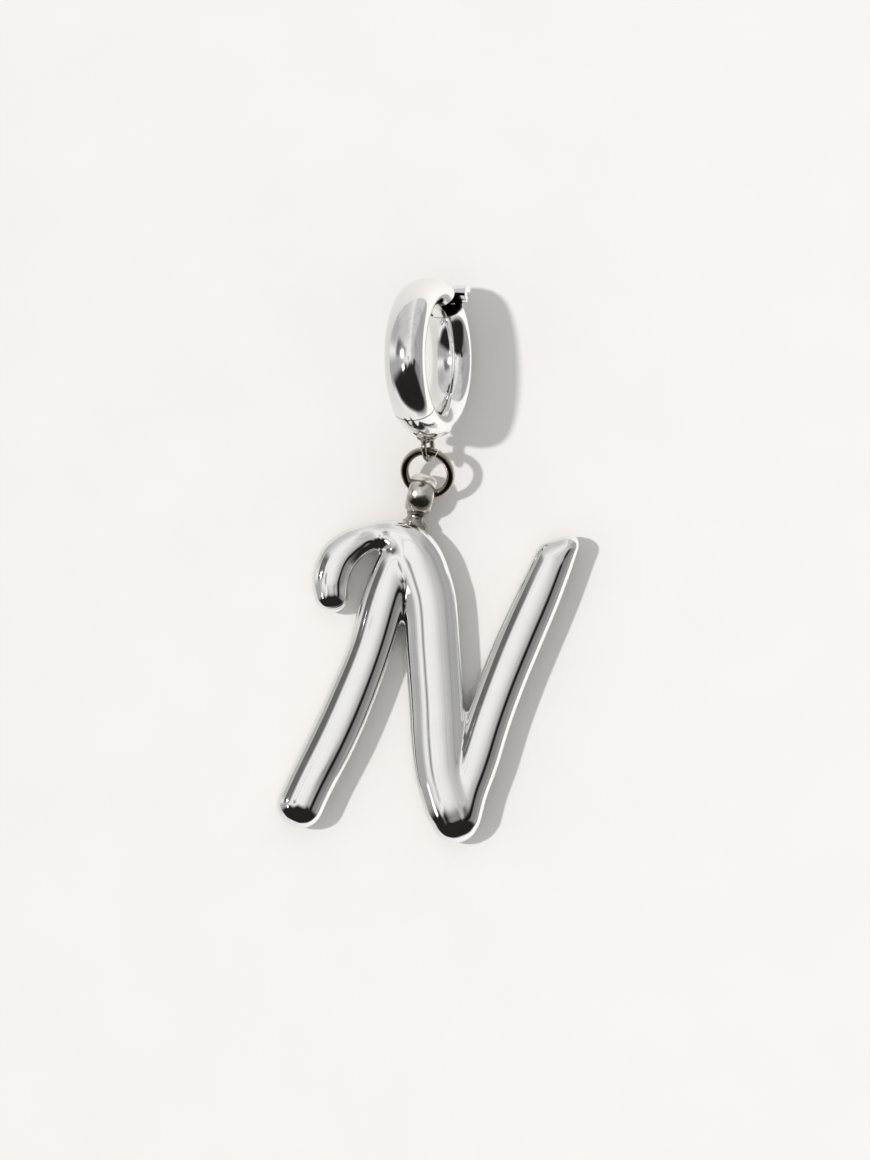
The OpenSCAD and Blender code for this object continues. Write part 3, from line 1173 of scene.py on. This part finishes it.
    def build(self, metal: Material, pin_metal: Material, solder: Material) -> list[Piece]:
        """Build the whole clasp.

        Args:
            metal: The polished metal.
            pin_metal: The hinge pin's metal.
            solder: The soldered loop's metal.

        Returns:
            The finished pieces.
        """
        pin = self.bar("pin_rod", self.pin_d / 2, -self.hinge_w / 2, self.hinge_w / 2, self.pin_soft)
        made = (
            (self.body(), Body.CLASP, ["clasp_body"], "polished_metal", metal, self.edge_deg),
            (self.gate(), Body.GATE, ["clasp_gate"], "polished_metal", metal, self.edge_deg),
            (pin, Body.CLASP, ["hinge_pin"], "pin_metal", pin_metal, self.pin_edge_deg),
            (self.loop(), Body.CLASP, ["clasp_body"], "polished_metal", solder, ALL_SMOOTH),
        )
        return [hand_over(place(piece, self.place()), *rest) for piece, *rest in made]


@dataclass
class JumpRing:
    """The small ring of round wire, cut once, that links the loop and the bail."""

    centre: Point = (-0.0905, 7.5046, 3.0536)
    outer_d: float = 4.7
    wire: float = 0.7
    lean_deg: float = -14.0
    pitch_deg: float = 24.726
    slit: float = 0.06
    slit_deg: float = 67.0
    sides: int = 40
    rings: int = 140
    edge_deg: float = 40.0
    # Depths of the wire's section between which the painted reflection on its flanks begins, and its
    # colour.
    flank_edge: Pair = (0.12, 0.56)
    flank_painted_reflection: Tint = (0.50, 0.45, 0.37)
    # The flanks are told by the reach outwards alone, so this is far wider than the wire.
    flank_w: float = 100.0

    @property
    def mid_r(self) -> float:
        """Radius of the wire's middle line."""
        return (self.outer_d - self.wire) / 2

    def painted_reflection_flanks(self) -> TubeZone:
        """The wire's inner and outer flanks, which get a painted reflection that makes them brighter
        than its face.

        Returns:
            The zone.
        """
        turn = (-self.pitch_deg, -self.lean_deg, 0.0)
        sizes = (self.mid_r, self.flank_w, self.wire / 2)
        return TubeZone(self.centre, turn, 2, *sizes, self.flank_edge, False, self.flank_painted_reflection)

    def build(self, metal: Material) -> Piece:
        """Spin the wire and leave its slit open.

        Args:
            metal: The ring's metal.

        Returns:
            The finished ring.
        """
        gap = self.slit / self.mid_r
        bpy.ops.mesh.primitive_circle_add(
            vertices=self.sides, radius=self.wire / 2, fill_type="NGON",
            location=(self.mid_r, 0, 0), rotation=(math.pi / 2, 0, 0),
        )
        ring = settle(named("wire_ring"))
        place(ring, Matrix.Rotation(math.radians(self.slit_deg) + gap / 2, 4, "Z"))
        spin(ring, self.rings, -(math.tau - gap), (0, 0, 1))
        turn = (
            Matrix.Translation(Vector(self.centre))
            @ Matrix.Rotation(math.radians(self.pitch_deg), 4, "X")
            @ Matrix.Rotation(math.radians(self.lean_deg), 4, "Y")
        )
        place(ring, turn)
        return hand_over(ring, Body.CLASP, ["jump_ring"], "ring_metal", metal, self.edge_deg)


@dataclass(frozen=True)
class Card:
    """A card or dark corner of the studio, by its turn round the pendant and tilt from overhead.

    Angles are in degrees; the turn runs from Studio.turn_start once round.
    """

    level: float
    turn: Pair
    tilt: Pair
    soft_turn: float
    soft_tilt: float


@dataclass
class Studio:
    """The pale table, the soft light round it, the low sun-like key and the camera.

    Its sizes are in metres, apart from the lens and the sensor.
    """

    table_size: float = 3.0
    camera_height: float = 0.6
    view_height: float = 0.0979
    view_rise: float = 0.002
    view_centre: Pair = (0.00053, -0.00153)
    sensor_width: float = 36.0
    clip: Pair = (0.01, 10.0)
    key_strength: float = 1.95
    key_angle_deg: float = 2.8
    key_tint: Tint = (1.0, 0.995, 0.985)
    key_from: Point = (-0.65, 0.10, 1.0)
    # The light overhead, the light from the right, and where one passes into the other.
    zenith: float = 0.92
    right: float = 0.62
    right_range: Pair = (-0.04, 0.12)
    # What matt surfaces get from all round.
    ambient: float = 0.69
    turn_start: float = 76.0
    streak: float = 0.3
    streak_squeeze: float = 0.3
    streak_range: Pair = (0.45, 0.75)
    dim_tint: Tint = (1.0, 0.93, 0.86)
    bright_tint: Tint = (1.0, 0.998, 0.99)
    dim_range: Pair = (0.0, 0.4)
    backdrop: Tint = (0.9, 0.895, 0.885)
    cards: tuple[Card, ...] = (
        Card(0.42, (346, 410), (16, 120), 8, 12),
        Card(0.6, (98, 160), (28, 120), 16, 16),
        Card(0.42, (180, 212), (26, 100), 8, 10),
        Card(0.15, (148, 180), (20, 58), 8, 5),
        Card(0.48, (132, 164), (60, 120), 8, 8),
        Card(0.26, (318, 351), (12, 60), 6, 9),
        Card(0.36, (318, 350), (58, 89), 6, 12),
        Card(0.02, (204, 324), (18, 81), 8, 6),
        Card(0.02, (228, 318), (7, 81), 10, 5),
        Card(0.012, (314, 353), (15, 25), 5, 3),
        Card(0.3, (174, 206), (7, 11), 5, 2),
        Card(2.6, (199, 213), (29, 37), 3, 2),
    )

    def table(self) -> None:
        """Lay the table top."""
        bpy.ops.mesh.primitive_plane_add(size=self.table_size, location=(0, 0, 0))
        top = named("table_top")
        top.data.materials.append(PaleTable().make())

    def key(self) -> None:
        """Hang the key light."""
        bpy.ops.object.light_add(type="SUN", location=Vector(self.key_from) / 2)
        lamp = bpy.context.object
        lamp.name = "key_light"
        lamp.data.energy = self.key_strength
        lamp.data.angle = math.radians(self.key_angle_deg)
        lamp.data.color = self.key_tint
        lamp.rotation_mode = "QUATERNION"
        lamp.rotation_quaternion = Vector(self.key_from).to_track_quat("Z", "Y")

    def camera(self) -> None:
        """Set the camera straight above the pendant."""
        bpy.ops.object.camera_add(location=(*self.view_centre, self.camera_height), rotation=(0, 0, 0))
        camera = bpy.context.object
        camera.name = "camera_above"
        distance = self.camera_height - self.view_rise
        camera.data.lens = self.sensor_width * distance / self.view_height
        camera.data.sensor_width = self.sensor_width
        camera.data.clip_start, camera.data.clip_end = self.clip
        bpy.context.scene.camera = camera

    def glow(self, desk: Desk) -> Socket:
        """Shape the light that comes from each direction.

        Args:
            desk: The world's node tree.

        Returns:
            The light's strength.
        """
        ways = desk.add("TexCoord", {}).outputs["Generated"]
        x, y, z = desk.add("SeparateXYZ", {0: ways}).outputs
        degrees = 180 / math.pi
        turn = desk.maths("MULTIPLY", desk.maths("ARCTAN2", y, x), degrees)
        lap = desk.maths("MULTIPLY", desk.maths("LESS_THAN", turn, self.turn_start), 360.0)
        turn = desk.maths("ADD", turn, lap)
        tilt = desk.maths("MULTIPLY", desk.maths("ARCCOSINE", z), degrees)
        light = desk.span(x, *self.right_range, self.zenith, self.right)
        for card in self.cards:
            across = desk.window(turn, card.turn, card.soft_turn)
            up = desk.window(tilt, card.tilt, card.soft_tilt)
            light = desk.crossfade(desk.maths("MULTIPLY", across, up), light, card.level)
        squeezed = desk.maths("MULTIPLY", tilt, self.streak_squeeze)
        lines = desk.add("CombineXYZ", {0: x, 1: y, 2: squeezed})
        streaks = desk.noise(lines.outputs[0], 1.0, detail=4.0, rough=0.6)
        dimming = desk.span(streaks, *self.streak_range, 1.0, 1 - self.streak)
        return desk.maths("MULTIPLY", light, dimming)

    def surround(self) -> None:
        """Paint the soft light of the studio round the pendant."""
        world = bpy.data.worlds.new("studio")
        bpy.context.scene.world = world
        world.use_nodes = True
        world.node_tree.nodes.clear()
        desk = Desk(world.node_tree)
        path = desk.add("LightPath", {})
        light = desk.crossfade(path.outputs["Is Diffuse Ray"], self.glow(desk), self.ambient)
        warmth = desk.blend(desk.span(light, *self.dim_range), self.dim_tint, self.bright_tint)
        studio = desk.add("Background", {"Color": warmth, "Strength": light})
        plain = desk.add("Background", {"Color": (*self.backdrop, 1.0)})
        shaders = {0: path.outputs["Is Camera Ray"], 1: studio.outputs[0], 2: plain.outputs[0]}
        desk.add("OutputWorld", {"Surface": desk.add("MixShader", shaders).outputs[0]})

    def build(self) -> None:
        """Set up the table, light and camera."""
        self.table()
        self.key()
        self.surround()
        self.camera()
        bpy.context.scene.view_settings.view_transform = "Standard"
        bpy.context.scene.view_settings.look = "None"


def main() -> None:
    """Build the studio and the pendant, piece by piece."""
    Studio().build()
    letter, hoop, ring = Letter(), Hoop(), JumpRing()
    bright, bright_worn = (0.93, 0.925, 0.915), (0.90, 0.895, 0.885)
    silver = PolishedMetal("polished_silver", bright, bright_worn)
    solder = PolishedMetal(
        "soldered_silver", (0.52, 0.50, 0.46), (0.26, 0.24, 0.21),
        gloss=0.06, dull=0.18, ripple=0.06, ripple_size=0.3, scratch=0.001,
    )
    steel = PolishedMetal(
        "pin_steel", (0.78, 0.775, 0.765), (0.66, 0.655, 0.64), gloss=0.06, dull=0.14
    )
    # The ring's flanks get a painted reflection.
    wire = PolishedMetal(
        "darkened_wire", (0.24, 0.205, 0.17), (0.10, 0.085, 0.07),
        gloss=0.08, dull=0.16, ripple=0.002, ripple_size=1.0, scratch=0.001, painted_light_zone=ring.painted_reflection_flanks(),
    )
    # The hoop's inside gets painted shade.
    hoop_silver = PolishedMetal(
        "hoop_silver", bright, bright_worn, gloss=0.07, dull=0.12, painted_light_zone=hoop.inside()
    )
    bail_silver = PolishedMetal(
        "bail_silver", (0.86, 0.84, 0.81), (0.56, 0.52, 0.47),
        gloss=0.13, dull=0.26, ripple=0.025, ripple_size=0.7, scratch=0.001,
    )
    soldered = solder.make()
    pieces = letter.build(silver.make(), bail_silver.make(), soldered)
    pieces += hoop.build(hoop_silver.make(), steel.make(), soldered)
    pieces.append(ring.build(wire.make()))
    for piece in pieces:
        report(piece)


if __name__ == "__main__":
    main()
